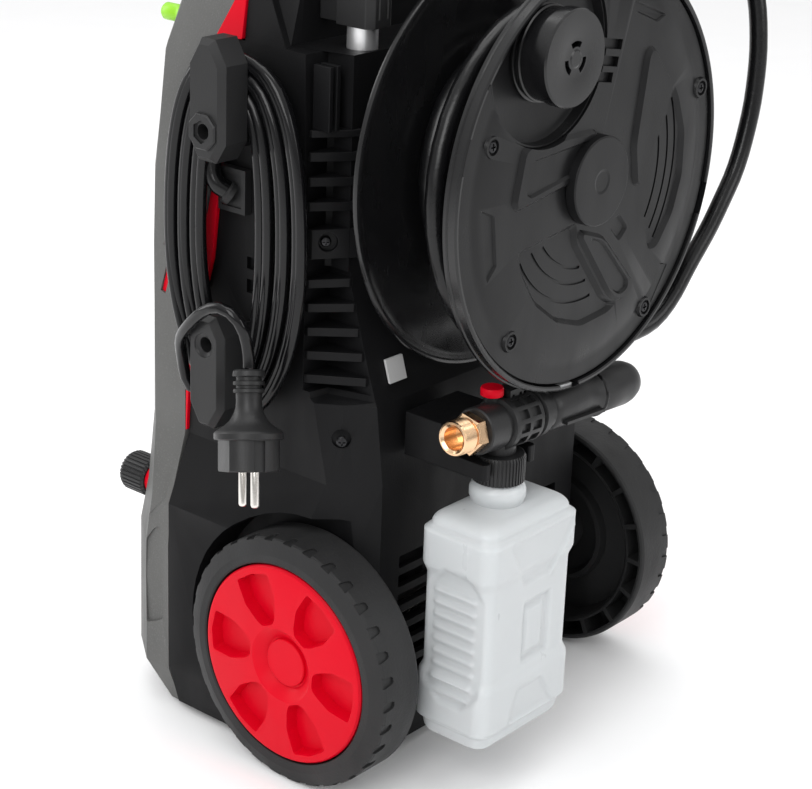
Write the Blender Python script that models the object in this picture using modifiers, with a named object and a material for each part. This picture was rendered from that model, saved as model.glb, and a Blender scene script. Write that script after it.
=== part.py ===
"""Electric pressure washer with a rear hose reel, a foam lance and a mains lead on hooks.

Lengths are in millimetres in the design frame and become metres as the meshes are made.
X runs along the wheel axle, -Y is the rear, where the reel is, and Z is up from the ground.
The design frame has y = 0 at the axle; the empty "machine" moves it so that the model is
centred over the origin.
"""

import math

import bmesh
import bpy
from mathutils import Matrix, Vector

MM = 0.001
GAP = 0.3  # between pieces that touch
MACHINE_CENTRE = (18.75, 33.0)  # design x, y of the model's middle

# Wheels
WHEEL_R = 75.0
TYRE_OUT = 138.5  # |x| of the tread's outer edge
TYRE_IN = 109.6
DISC_R = 59.6
ARCH_R = 84.0
WELL_IN = 104.5  # |x| of the wheel well's inner wall

# Hose reel, which turns on the Y axis
REEL_Z = 351.0
FLANGE_R = 120.0
REEL_BACK = -23.6
REEL_FRONT = -92.7
DRUM_R = 45.0
HOSE_D = 11.0
COIL_R = 95.0
KNOB_X = -45.0
KNOB_Z = 426.0
KNOB_R = 26.0

# Telescopic handle
TUBE_X = 75.0
TUBE_Y = 11.0
TUBE_R = 8.5
HANDLE_TOP = 870.0
LEDGE_Z = 417.0
BODY_TOP = 600.0

# Mains lead on its two hooks
POST_X = -117.0
PLATE_IN = -130.3
PLATE_OUT = -150.0
HOOK_Y = 55.0
HOOK_TOP_Z = 375.0
HOOK_LOW_Z = 255.0
LEAD_D = 6.6
# The plug is pulled over by its lead: its flange, its own axis and the line through its pins.
PLUG_AT = Vector((-160.0, 10.0, 218.5))
PLUG_UP = Vector((0.2564, 0.2607, 0.9307))
PIN_LINE = Vector((-0.392, -0.852, 0.347))
PIN_APART = 19.0

# Foam lance and bottle
LANCE_Y = -78.0
LANCE_Z = 220.0
LANCE_TILT = math.radians(3.5)
NECK_X = -52.0
DOSER_X = -56.0
DOSER_Y = -73.5
BOTTLE_Y = -81.5
BOTTLE_HALF = (42.0, 26.5)
BOTTLE_LOW = 36.0

# Spray gun on the right side
GUN_X = 172.0
GUN_W = 26.0

PALETTE = {
    "black_plastic": ((0.022, 0.022, 0.024), 0.5, 0.0),
    "grey_plastic": ((0.105, 0.105, 0.104), 0.6, 0.0),
    "red_plastic": ((0.62, 0.004, 0.012), 0.4, 0.0),
    "tyre_black": ((0.018, 0.018, 0.019), 0.75, 0.0),
    "cable_black": ((0.014, 0.014, 0.015), 0.42, 0.0),
    "aluminium": ((0.72, 0.72, 0.72), 0.32, 1.0),
    "nickel": ((0.68, 0.66, 0.63), 0.25, 1.0),
    "brass": ((0.72, 0.47, 0.2), 0.28, 1.0),
    "bottle_white": ((0.82, 0.83, 0.82), 0.4, 0.0),
    "green_plastic": ((0.33, 0.68, 0.03), 0.4, 0.0),
}


# ---------------------------------------------------------------- helpers


def clear_scene():
    for o in list(bpy.data.objects):
        bpy.data.objects.remove(o, do_unlink=True)


def collection(name):
    found = bpy.data.collections.new(name)
    bpy.context.scene.collection.children.link(found)
    return found


def material(name):
    made = bpy.data.materials.get(name)
    if made is None:
        color, rough, metal = PALETTE[name]
        made = bpy.data.materials.new(name)
        made.use_nodes = True
        shader = made.node_tree.nodes["Principled BSDF"]
        shader.inputs["Base Color"].default_value = (*color, 1.0)
        shader.inputs["Roughness"].default_value = rough
        shader.inputs["Metallic"].default_value = metal
    return made


clear_scene()
PARTS = collection("pressure_washer")
CUTTERS = collection("cutters")
MACHINE = bpy.data.objects.new("machine", None)
PARTS.objects.link(MACHINE)
MACHINE.location = (-MACHINE_CENTRE[0] * MM, -MACHINE_CENTRE[1] * MM, 0.0)


def place(o, finish, origin=(0, 0, 0), cutter=False):
    """Puts a new object in its collection, with its origin at a point of the design frame."""
    o.location = Vector(origin) * MM
    o.parent = MACHINE
    (CUTTERS if cutter else PARTS).objects.link(o)
    if cutter:
        o.hide_render = True
        o.display_type = "WIRE"
    else:
        o.data.materials.append(material(finish))
    return o


def solid(name, bm, finish=None, origin=(0, 0, 0)):
    """An object from a bmesh that is drawn in design millimetres; no finish makes a cutter."""
    bmesh.ops.translate(bm, verts=bm.verts, vec=-Vector(origin))
    bmesh.ops.scale(bm, verts=bm.verts, vec=(MM, MM, MM))
    bmesh.ops.recalc_face_normals(bm, faces=bm.faces)
    mesh = bpy.data.meshes.new(name)
    bm.to_mesh(mesh)
    bm.free()
    o = bpy.data.objects.new(name, mesh)
    return place(o, finish, origin, cutter=finish is None)


def box(name, low, high, finish=None, origin=(0, 0, 0)):
    bm = bmesh.new()
    low, high = Vector(low), Vector(high)
    size = Matrix.Diagonal((*(high - low), 1.0))
    bmesh.ops.create_cube(bm, size=1.0, matrix=Matrix.Translation((low + high) / 2) @ size)
    return solid(name, bm, finish, origin)


def rod(name, start, end, r, finish=None, origin=(0, 0, 0), segments=24, r2=None):
    """A cylinder or cone from one point to another."""
    bm = bmesh.new()
    start, end = Vector(start), Vector(end)
    along = end - start
    turn = along.to_track_quat("Z", "Y").to_matrix().to_4x4()
    bmesh.ops.create_cone(
        bm,
        cap_ends=True,
        segments=segments,
        radius1=r,
        radius2=r if r2 is None else r2,
        depth=along.length,
        matrix=Matrix.Translation((start + end) / 2) @ turn,
    )
    return solid(name, bm, finish, origin)


# How an object turned about its own Z is rotated so that its axis lies along X, Y or Z.
AXES = {"X": (0, math.pi / 2, 0), "Y": (-math.pi / 2, 0, 0), "Z": (0, 0, 0)}


def turned(name, profile, axis, centre, finish, segments=48):
    """A closed outline of (radius, place along the axis) turned about an axis through centre."""
    mesh = bpy.data.meshes.new(name)
    area = sum(a[0] * b[1] - b[0] * a[1] for a, b in zip(profile, [*profile[1:], profile[0]]))
    points = [(r * MM, 0.0, h * MM) for r, h in (profile if area < 0 else profile[::-1])]
    count = len(points)
    mesh.from_pydata(points, [(i, (i + 1) % count) for i in range(count)], [])
    o = bpy.data.objects.new(name, mesh)
    o.rotation_euler = AXES[axis]
    spin = o.modifiers.new("turn", "SCREW")
    spin.steps = spin.render_steps = segments
    spin.use_merge_vertices = True
    spin.merge_threshold = 0.00001
    spin.use_smooth_shade = False
    return place(o, finish, centre)


def loft(name, rings, finish=None, origin=(0, 0, 0)):
    """A closed solid through rings of points that all have the same count."""
    bm = bmesh.new()
    rows = [[bm.verts.new(p) for p in ring] for ring in rings]
    for low, high in zip(rows, rows[1:]):
        for i in range(len(low)):
            j = (i + 1) % len(low)
            bm.faces.new((low[i], low[j], high[j], high[i]))
    bm.faces.new(rows[0][::-1])
    bm.faces.new(rows[-1])
    if len(rows) > 2:
        bmesh.ops.triangulate(bm, faces=bm.faces)
    return solid(name, bm, finish, origin)


def plate(name, outline, axis, low, high, finish=None, origin=(0, 0, 0)):
    """A flat outline extruded along an axis; outline points are the other two coordinates."""
    def point(p, h):
        return {"X": (h, p[0], p[1]), "Y": (p[0], h, p[1]), "Z": (p[0], p[1], h)}[axis]

    return loft(name, [[point(p, low) for p in outline], [point(p, high) for p in outline]],
                finish, origin)


def arc(centre, r, start, end, steps):
    """Points on an arc in a plane, from one angle to another in degrees."""
    angles = [math.radians(start + (end - start) * i / steps) for i in range(steps + 1)]
    return [(centre[0] + r * math.cos(a), centre[1] + r * math.sin(a)) for a in angles]


def rounded(centre, half, r, steps=3):
    """A rectangle with round corners."""
    cx, cy = centre
    a, b = half[0] - r, half[1] - r
    return (arc((cx + a, cy + b), r, 0, 90, steps) + arc((cx - a, cy + b), r, 90, 180, steps)
            + arc((cx - a, cy - b), r, 180, 270, steps) + arc((cx + a, cy - b), r, 270, 360, steps))


def boolean(o, cutter, operation="DIFFERENCE"):
    m = o.modifiers.new(operation.lower(), "BOOLEAN")
    m.operation = operation
    m.solver = "EXACT"
    m.object = cutter
    return o


def smooth_route(points, spacing):
    """Evenly spaced points along a Catmull-Rom curve through hand-chosen points."""
    p = [Vector(q) for q in points]
    p = [2 * p[0] - p[1], *p, 2 * p[-1] - p[-2]]
    fine = []
    for a, b, c, d in zip(p, p[1:], p[2:], p[3:]):
        for k in range(20):
            t = k / 20
            fine.append(0.5 * (2 * b + (c - a) * t + (2 * a - 5 * b + 4 * c - d) * t**2
                               + (3 * b - a - 3 * c + d) * t**3))
    fine.append(p[-2])
    total = sum((b - a).length for a, b in zip(fine, fine[1:]))
    count = max(2, round(total / spacing))
    out, run, want = [fine[0]], 0.0, total / count
    for a, b in zip(fine, fine[1:]):
        step = (b - a).length
        while run + step >= want - 1e-6 and len(out) < count:
            out.append(a.lerp(b, (want - run) / step))
            want += total / count
        run += step
    return [*out, fine[-1]]


def tube(name, points, r, finish, resolution=2, origin=(0, 0, 0)):
    """A round cord or tube along a polyline."""
    data = bpy.data.curves.new(name, "CURVE")
    data.dimensions = "3D"
    data.bevel_depth = r * MM
    data.bevel_resolution = resolution
    data.use_fill_caps = True
    line = data.splines.new("POLY")
    line.points.add(len(points) - 1)
    for point, place_at in zip(line.points, points):
        point.co = (*((Vector(place_at) - Vector(origin)) * MM), 1.0)
    o = bpy.data.objects.new(name, data)
    return place(o, finish, origin)


def mirrored_ring(half, z):
    """A ring that is symmetric in X, from its +X half."""
    other = [(-x, y) for x, y in reversed(half) if x]
    return [(x, y, z) for x, y in half + other]


# ---------------------------------------------------------------- body

# Height: side x, seam y, side's rear y, corner, rear wall's end, rear wall's y.
HOUSING = [
    (6, 126, 100, 0, (102, -20), (92, -28)),
    (30, 130, 104, 0, (104, -20), (92, -28)),
    (138, 130, 104, 3, (104, -20), (92, -28)),
    (178, 112, 105, -4, (102, -16), (92, -28)),
    (224, 112, 102, 7, (102, -8), (92, -22)),
    (226, 112, 102, 10, (99, 8), (91, -20)),
    (290, 112, 84, 15, (94, 15), (94, 0)),
    (416.8, 112, 69, 18, (94, 18), (94, 0)),
    (417, 112, 62, 32, (104, 36), (94, 38)),
    (445, 111, 60, 45, (104, 47), (94, 38)),
    (BODY_TOP - 12, 104, 56, 46, (98, 47), (88, 40)),
    (BODY_TOP, 96, 52, 47, (92, 47.5), (84, 42)),
]
# Height: half width, rear wall's y, of the hollow inside the housing.
HOUSING_INSIDE = [(12, 100, -24), (178, 100, -24), (222, 90, -18), (292, 90, 4.5),
                  (412, 90, 4.5), (413, 88, 42), (BODY_TOP - 10, 80, 44)]
# Height: side x and seam y, then the front outline's corners.
SHELL = [
    (5, (124, 100.8), (124, 108), (108, 130), (80, 142), (0, 146)),
    (28, (130, 104.6), (130, 124), (112, 148), (84, 160), (0, 164)),
    (110, (130, 104.6), (130, 123), (112, 147), (84, 159), (0, 163)),
    (138, (128, 104.6), (127, 121), (110, 142), (84, 155), (0, 160)),
    (178, (113.5, 106.8), (116, 129), (101, 146), (80, 152), (0, 156)),
    (250, (114, 106), (115.5, 130), (100, 146), (79, 151), (0, 155)),
    (290, (114, 95), (115.5, 130), (100, 146), (79, 151), (0, 155)),
    (330, (114, 86), (115, 129), (100, 145), (79, 150), (0, 154)),
    (403, (112.5, 77), (113, 122), (98, 136), (78, 142), (0, 146)),
    (418, (112.3, 82), (112, 116), (97, 130), (78, 136), (0, 140)),
    (443, (111.3, 67), (110, 106), (96, 120), (77, 126), (0, 130)),
    (BODY_TOP - 14, (104, 62), (103, 74), (92, 82), (74, 88), (0, 91)),
    (BODY_TOP + 6, (94, 53), (93, 62), (84, 70), (66, 74), (0, 77)),
]
SHELL_INSIDE = [(10, 100, 132), (120, 100, 132), (180, 90, 132), (395, 88, 126),
                (BODY_TOP - 16, 78, 68)]


def inside(name, levels, rear):
    rings = []
    for z, half, wall in levels:
        # The rear hollow's corners are cut off, as the outer wall's are.
        other, cut = (220, 10) if rear else (30, -1)
        rings.append([(half - abs(cut), wall, z), (abs(cut) - half, wall, z), (-half, wall + cut, z),
                      (-half, other, z), (half, other, z), (half, wall + cut, z)])
    return loft(name, rings)


def rear_housing():
    rings = [mirrored_ring([(x, seam), (x, rear), corner, end, (0, end[1])], z)
             for z, x, seam, rear, corner, end in HOUSING]
    o = loft("rear_housing", rings, "black_plastic")
    boolean(o, inside("housing_inside", HOUSING_INSIDE, rear=True))
    for side, word in ((-1, "left"), (1, "right")):
        well = rod(f"{word}_well", (side * WELL_IN, 0, WHEEL_R), (side * 150, 0, WHEEL_R), ARCH_R,
                   segments=48)
        boolean(o, well)
        boolean(o, rod(f"{word}_tube_hole", (side * TUBE_X, TUBE_Y, 120),
                       (side * TUBE_X, TUBE_Y, LEDGE_Z + 2), TUBE_R + 0.8, segments=20))
    boolean(o, rod("axle_hole", (-110, 0, WHEEL_R), (110, 0, WHEEL_R), 6.6, segments=16))
    for z, word in ((HOOK_TOP_Z, "top"), (HOOK_LOW_Z - 8, "low")):
        post = plate(f"{word}_post", rounded((HOOK_Y, z), (9, 13), 8.9), "X",
                     PLATE_IN + GAP, -108)
        boolean(o, post, "UNION")
    return o


def front_shell():
    rings = [mirrored_ring(list(half), z) for z, *half in SHELL]
    o = loft("front_shell", rings, "grey_plastic")
    boolean(o, inside("shell_inside", SHELL_INSIDE, rear=False))
    boolean(o, rod("inlet_hole", (-98, 120, 131), (-98, 160, 131), 10.3))
    boolean(o, rod("switch_boss", (0, 140, 340), (0, 158, 340), 30, segments=32), "UNION")
    boolean(o, rod("nozzle_hole", (-84, 110, 416), (-84, 150, 416), 5.3, segments=16))
    return o


def red_trims():
    """The red strips that fill the seam between the housing and the front shell."""
    for side, word in ((-1, "left"), (1, "right")):
        rings = []
        for z, near, far in ((180, 105.4, 106.2), (226, 102.6, 105.8), (250, 96, 105.4),
                             (290, 84.6, 94.4), (330, 79.9, 85.4), (403, 71.3, 76.4),
                             (417, 69.7, 80.8), (418, 62.6, 81.4), (443, 60.9, 66.4),
                             (BODY_TOP - 16, 56.9, 61.4)):
            x = side * (113.8 if z < 440 else 112.2 - (z - 440) * 0.058)
            back = x - side * 9
            rings.append([(x, near, z), (x, far, z), (back, far, z), (back, near, z)])
        loft(f"{word}_red_trim", rings, "red_plastic")


def comb(name, side, low, high, pitch, out_a, out_b, back_a, back_b):
    """A louvre panel: flat slats on a backing strip, one outline extruded along its edge.

    a and b are the ends of the slats' outer edge in plan, and back_a and back_b those of
    the backing strip's rear edge.
    """
    outline = [(0, low), (1, low)]
    z = low
    while z + pitch <= high:
        outline += [(1, z + 4), (0.2, z + 4), (0.2, z + pitch), (1, z + pitch)]
        z += pitch
    outline += [(1, z + 4), (0, z + 4)]

    def ring(out, back):
        return [(side * (back[0] + t * (out[0] - back[0])), back[1] + t * (out[1] - back[1]), z)
                for t, z in outline]

    return loft(name, [ring(out_a, back_a), ring(out_b, back_b)], "black_plastic")


def louvres():
    for side, word in ((-1, "left"), (1, "right")):
        comb(f"{word}_louvre", side, 294, 368, 14, (111.5, 14.6), (94.5, 0.5), (100, 14.6), (94.5, 10))


def feet():
    for side, word in ((-1, "left"), (1, "right")):
        x = side * 92
        plate(f"{word}_front_foot", rounded((x, 118), (14, 8), 4), "Z", 0, 5 - GAP, "tyre_black")


def rear_bracket():
    """The fork that holds the foam lance by its bottle's cap."""
    left, right, back = NECK_X - 17, NECK_X + 17, LANCE_Y + 17
    outline = [(-75, -28.4), (-75, -86), (left, -86), (left, back), (right, back), (right, -86), (-29, -86),
               (-29, -28.4)]
    o = plate("lance_bracket", outline, "Z", 193, 203, "black_plastic")
    block = plate("bracket_block", [(-75, -28.4), (-75, -57), (-29, -57), (-29, -28.4)], "Z", 200, 219)
    return boolean(o, block, "UNION")


def body_trim():
    # A bright plate that lies on the sloping part of the rear wall.
    slope = [(232, -20.2, -18.7), (248, -15.2, -13.7)]
    loft("reel_clip_plate", [[(-80, a, z), (-62.5, a, z), (-62.5, b, z), (-80, b, z)] for z, a, b in slope],
         "aluminium")
    turned("reel_mount", [(0, -0.3), (34, -0.3), (30, REEL_BACK + 0.3), (8.2, REEL_BACK + 0.3),
                          (8.2, -78.5), (0, -78.5)], "Y", (0, 0, REEL_Z), "black_plastic", 32)
    o = box("cord_gland", (-117.5, 56, 322), (-112 - GAP, 76.5, 347), "black_plastic")
    boolean(o, rod("gland_neck", (-116.4, 67.4, 332.4), (-122, 73, 338), 4.4, segments=16), "UNION")


def front_fittings():
    rod("inlet_connector", (-98, 122, 131), (-98, 154.7, 131), 9.9, "red_plastic")
    turned("inlet_collar", [(0, 155), (10, 155), (12.5, 157), (12.5, 172), (10.5, 174), (8, 174),
                            (8, 168), (0, 168)], "Y", (-98, 0, 131), "black_plastic", 24)
    knob = turned("power_switch", [(0, 158.3), (24, 158.3), (22, 170), (0, 170)], "Y",
                  (0, 0, 340), "red_plastic", 32)
    boolean(knob, box("switch_bar", (-5, 165, 322), (5, 174, 358)), "UNION")
    rod("spray_nozzle_green", (-84, 112, 416), (-84, 152, 416), 5, "green_plastic", (-84, 0, 416), 16)


# ---------------------------------------------------------------- wheels


def wheels():
    rod("axle", (-TYRE_OUT + 7, 0, WHEEL_R), (TYRE_OUT - 7, 0, WHEEL_R), 6, "nickel", (0, 0, WHEEL_R), 16)
    black = [(6.4, 105), (16, 105), (16, 128), (60, 128), (62, TYRE_IN + 1), (73, TYRE_IN),
             (WHEEL_R, TYRE_IN + 3), (WHEEL_R, TYRE_OUT), (71, 142.3), (61, 142.3), (60.4, 139),
             (60.4, 132), (6.4, 132)]
    red = [(0, 132.4), (DISC_R, 132.4), (DISC_R, 140), (57, 142.9), (22, 142.9), (18, 141), (0, 141)]
    for side, word in ((-1, "left"), (1, "right")):
        centre = (0, 0, WHEEL_R)
        turned(f"{word}_wheel", [(r, side * x) for r, x in black], "X", centre, "tyre_black", 32)
        turned(f"{word}_hubcap", [(r, side * x) for r, x in red], "X", centre, "red_plastic", 32)


# ---------------------------------------------------------------- hose reel


def reel():
    centre = (0, 0, REEL_Z)
    turned("reel_drum", [(8.8, -24.4), (20, REEL_BACK), (FLANGE_R, REEL_BACK), (FLANGE_R, -27.4),
                         (115, -27.4), (114, -26.4), (DRUM_R, -26.4), (DRUM_R, -79), (36, -79),
                         (36, -29), (8.8, -29)], "Y", centre, "black_plastic", 48)
    turned("reel_front_flange", [(12, -79.5), (111, -79.5), (113, -84), (FLANGE_R, -84),
                                 (FLANGE_R, REEL_FRONT), (116, REEL_FRONT), (116, -87), (114.6, -87),
                                 (112.6, -82.5), (12, -82.5)], "Y", centre, "black_plastic", 48)
    cover = turned("reel_cover", [(0, -87.4), (115.7, -87.4), (115.7, -91), (0, -91)], "Y", centre,
                   "black_plastic", 48)
    boolean(cover, rod("knob_pocket", (KNOB_X, -84, KNOB_Z), (KNOB_X, -95, KNOB_Z), 45, segments=32))
    rod("reel_hub_cap", (0, -91.3, REEL_Z), (0, -98, REEL_Z), 24, "black_plastic", centre, 32)
    turned("crank_knob", [(0, -83), (22, -83), (KNOB_R - 1, -86), (KNOB_R - 1, -95), (KNOB_R, -96),
                          (KNOB_R, -105), (KNOB_R - 2, -107), (0, -107)], "Y", (KNOB_X, 0, KNOB_Z),
           "black_plastic", 32)
    turned("hose_coil", [(DRUM_R + GAP, -27.6), (COIL_R, -27.6), (COIL_R, -73), (DRUM_R + GAP, -73)],
           "Y", centre, "cable_black", 32)


# The free end of the high-pressure hose, from the wound turns to the spray gun.
HOSE_ROUTE = [(34, -68, 251), (62, -72, 240), (90, -76, 241.5), (108, -78.5, 253), (125, -80, 273.5),
              (141, -81, 291), (153, -82, 308), (164, -82, 323), (172, -82, 342), (178, -82, 368),
              (181, -80, 400), (180, -74, 432), (175.5, -60, 460), (GUN_X + 0.3, -47.5, 480),
              (GUN_X, -46.5, 489.6)]


def hose():
    points = smooth_route(HOSE_ROUTE, 2.2 * HOSE_D)
    tube("hose_tail", points, HOSE_D / 2, "cable_black", 2)


# ---------------------------------------------------------------- handle


def handle():
    r = 38.0
    side = TUBE_X
    up = [(-side, TUBE_Y, z) for z in (400, HANDLE_TOP - r)]
    bend = [(-side + r - r * math.cos(math.radians(a)), TUBE_Y,
             HANDLE_TOP - r + r * math.sin(math.radians(a))) for a in range(15, 91, 15)]
    half = up + bend
    points = half + [(-x, y, z) for x, y, z in reversed(half)]
    tube("handle_frame", points, TUBE_R, "aluminium", 2)
    turned("handle_grip", [(TUBE_R + GAP, -34), (13.5, -34), (14.5, -28), (14.5, 28), (13.5, 34),
                           (TUBE_R + GAP, 34)], "X", (0, TUBE_Y, HANDLE_TOP), "tyre_black", 24)
    for sign, word in ((-1, "left"), (1, "right")):
        x = sign * TUBE_X
        outline = [(x - 13, 37.4), (x - 14, 6), (x - 8, -8), (x + 8, -8), (x + 14, 6), (x + 13, 37.4)]
        o = plate(f"{word}_tube_collar", outline, "Z", 429, 500, "black_plastic")
        boolean(o, rod(f"{word}_collar_bore", (x, TUBE_Y, 420), (x, TUBE_Y, 510), TUBE_R + GAP + 0.2))
        if sign > 0:
            boolean(o, plate("lock_pocket", rounded((20, 474), (5.5, 7.5), 4.4), "X", x + 10.5, x + 16))
    plate("handle_lock_button", rounded((20, 474), (5, 7), 4), "X", TUBE_X + 12.8, TUBE_X + 17.5,
          "red_plastic")


# ---------------------------------------------------------------- mains lead


def hook_plate(name, pivot_z, direction):
    """An elongated octagonal plate that reaches up or down from its round pivot hole."""
    near, far = pivot_z - direction * 17, pivot_z + direction * 49
    outline = [(HOOK_Y - 6, near), (HOOK_Y + 6, near), (HOOK_Y + 13, near + direction * 11),
               (HOOK_Y + 13, far - direction * 13), (HOOK_Y + 5, far), (HOOK_Y - 5, far),
               (HOOK_Y - 13, far - direction * 13), (HOOK_Y - 13, near + direction * 11)]
    pivot = (0, HOOK_Y, pivot_z)
    o = plate(name, outline, "X", PLATE_OUT + 3, PLATE_IN, "black_plastic", pivot)
    inner = [(HOOK_Y + (y - HOOK_Y) * 0.8, pivot_z + (z - pivot_z) * 0.9) for y, z in outline]
    boolean(o, plate(f"{name}_face", inner, "X", PLATE_OUT, PLATE_IN - 5), "UNION")
    boolean(o, rod(f"{name}_hole", (PLATE_OUT - 5, HOOK_Y, pivot_z), (PLATE_OUT + 8, HOOK_Y, pivot_z),
                   4.2, segments=16))


COIL_Y, COIL_Z = 56.5, 309.0
COIL_HALF = (49.0, 94.0)
COIL_BAND = 24.0
# The lead's end, from the coil over the lower hook to the plug, which hangs by it.
LEAD_ROUTE = [(-134.2, 81, 215), (-136.5, 83.8, 228), (-142.5, 79.5, 243), (-148, 75.8, 252.5),
              (-154.4, 63.5, 264.5), (-157.4, 48.4, 278.2), (-158.3, 36.1, 284.9), (-158, 26, 284.2),
              (-155.5, 20.6, 278), (-151.8, 20.8, 268.5), (-148.9, 21.4, 259), (-150.8, 19.4, 252)]


def mains_lead():
    outer = rounded((COIL_Y, COIL_Z), COIL_HALF, 48.5, 6)
    o = plate("lead_coil", outer, "X", PLATE_IN + GAP, POST_X - GAP - 0.4, "cable_black")
    inner_half = (COIL_HALF[0] - COIL_BAND, COIL_HALF[1] - 12)
    hole = plate("coil_hole", rounded((COIL_Y, COIL_Z), inner_half, inner_half[0] - 0.2, 6), "X",
                 PLATE_OUT, -100)
    boolean(o, hole)
    hook_plate("upper_cord_hook", HOOK_TOP_Z, 1)
    hook_plate("lower_cord_hook", HOOK_LOW_Z, -1)
    tube("lead_tail", smooth_route(LEAD_ROUTE, 2.4 * LEAD_D), LEAD_D / 2, "cable_black", 2)
    plug = turned("plug_body", [(0, 35), (8.6, 35), (9, 31.2), (7, 31), (7, 28.8), (8.6, 28.6),
                                (8.6, 26.4), (7, 26.2), (7, 24.8), (8.6, 24.6), (8.6, 22.4),
                                (7, 22), (7, 15.5), (8.6, 11), (10.7, 7.5), (15, 3.5), (19, 1),
                                (19, -2.7), (17.4, -3), (17.2, -19.9), (0, -19.9)], "Z", PLUG_AT,
                  "black_plastic", 32)
    plug.rotation_euler = PLUG_UP.to_track_quat("Z", "Y").to_euler()
    for side, word in ((1, "front"), (-1, "rear")):
        foot = PLUG_AT + PIN_LINE * (side * PIN_APART / 2) - PLUG_UP * 20.2
        rod(f"{word}_plug_pin", foot, foot - PLUG_UP * 19, 2.4, "nickel", segments=12)


# ---------------------------------------------------------------- foam lance


def tilted(o):
    """Turns a piece of the lance nose-down about its neck."""
    pivot = Vector((NECK_X, LANCE_Y, LANCE_Z)) * MM
    turn = Matrix.Translation(pivot) @ Matrix.Rotation(LANCE_TILT, 4, "Y") @ Matrix.Translation(-pivot)
    o.matrix_basis = turn @ o.matrix_basis
    return o


def foam_lance():
    axis = (NECK_X, LANCE_Y, LANCE_Z)
    tilted(turned("lance_inlet", [(0, -28), (6, -28), (6, -46), (10, -46), (10.6, -44), (10.6, -32),
                                  (12.2, -31), (12.2, -24.3), (0, -24.3)], "X", axis, "brass", 24))
    body = turned("lance_body", [(0, -24), (13, -24), (13, -6), (15, -4), (15, 28), (12, 30),
                                 (12, 36), (0, 36)], "X", axis, "black_plastic", 24)
    tilted(body)
    boolean(body, rod("lance_neck", (NECK_X, LANCE_Y, 203.3), (NECK_X, LANCE_Y, 222), 9), "UNION")
    boolean(body, rod("knob_stem", (DOSER_X, DOSER_Y, 220), (DOSER_X, DOSER_Y, 236), 4, segments=12), "UNION")
    tilted(turned("lance_nozzle", [(0, 36.4), (12.6, 36.4), (13.4, 44), (13.4, 112), (11, 123),
                                   (6, 127), (6, 118), (0, 118)], "X", axis, "black_plastic", 24))
    rod("dosing_knob", (DOSER_X, DOSER_Y, 236.4), (DOSER_X, DOSER_Y, 241), 6.5, "red_plastic",
        (DOSER_X, DOSER_Y, 0))
    cap = (NECK_X, LANCE_Y, 0)
    rod("bottle_cap", (NECK_X, LANCE_Y, 187), (NECK_X, LANCE_Y, 203), 15.5, "black_plastic", cap)


def foam_bottle():
    cx, cy = NECK_X, BOTTLE_Y
    a, b = BOTTLE_HALF
    levels = [(BOTTLE_LOW, a - 5, b - 5), (BOTTLE_LOW + 5, a, b), (163, a, b), (171, a - 4, b - 4),
              (174.5, a - 13, b - 11)]
    rings = [[(x, y, z) for x, y in rounded((cx, cy), (p, q), 10)] for z, p, q in levels]
    o = loft("foam_bottle", rings, "bottle_white", (NECK_X, LANCE_Y, 0))
    boolean(o, rod("bottle_neck", (NECK_X, LANCE_Y, 168), (NECK_X, LANCE_Y, 186.7), 12), "UNION")
    wall = 2.2
    hollow = [[(x, y, z) for x, y in rounded((cx, cy), (p - wall, q - wall), 8)]
              for z, p, q in ((BOTTLE_LOW + 2, a - 5, b - 5), (BOTTLE_LOW + 6, a, b),
                              (162, a, b), (169, a - 4, b - 4), (172, a - 13, b - 11))]
    boolean(o, loft("bottle_inside", hollow))
    boolean(o, rod("neck_bore", (NECK_X, LANCE_Y, 160), (NECK_X, LANCE_Y, 190), 9))


# ---------------------------------------------------------------- spray gun


def spray_gun():
    low, high = GUN_X - GUN_W / 2, GUN_X + GUN_W / 2
    outline = [(-60, 492), (-33, 492), (-26, 548), (-26, 588), (98, 588), (98, 608), (-28, 618),
               (-60, 604), (-68, 580), (-64, 540)]
    plate("gun_body", outline, "X", low, high, "black_plastic")
    pivot = (GUN_X, -11, 583)
    trigger = [(-18, 585), (-5, 585), (-1, 570), (-8, 520), (-15, 520), (-11, 560), (-18, 576)]
    plate("gun_trigger", trigger, "X", low + 7, high - 7, "red_plastic", pivot)
    rod("gun_coupling", (GUN_X, 98.3, 598), (GUN_X, 122, 598), 8.5, "brass")
    arm = [(109, 500), (150, 560), (187.5, 560), (187.5, 587.6), (180, 587.6), (180, 568),
           (152, 568), (109, 520)]
    rings = [[(x, y, z) for x, z in arm] for y in (67, 85)]
    o = loft("gun_holder", rings, "black_plastic")
    boolean(o, box("holder_seat", (164, 61, 564), (178, 89, 587.6)), "UNION")


# ---------------------------------------------------------------- inside


def insides():
    turned("motor", [(0, 20), (46, 20), (50, 26), (50, 176), (44, 184), (0, 184)], "Z", (0, 56, 0),
           "aluminium", 32)
    plate("pump_head", rounded((0, 56), (38, 34), 8), "Z", 184.4, 268, "aluminium")
    box("switch_box", (-60, 70, 290), (60, 118, 390), "black_plastic")


def main():
    rear_housing()
    front_shell()
    red_trims()
    louvres()
    feet()
    rear_bracket()
    body_trim()
    front_fittings()
    wheels()
    reel()
    hose()
    handle()
    mains_lead()
    foam_lance()
    foam_bottle()
    spray_gun()
    insides()


main()
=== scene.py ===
"""Looks of the pressure washer, built around its CAD model.

Lengths are millimetres in the design frame: x runs along the wheel axle, -y is the rear, where the
hose reel is, z is up from the floor and y = 0 is the axle. Meshes end up in metres in the row frame.
"""

import math
import random

import bmesh
import bpy
from mathutils import Matrix, Vector


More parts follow.
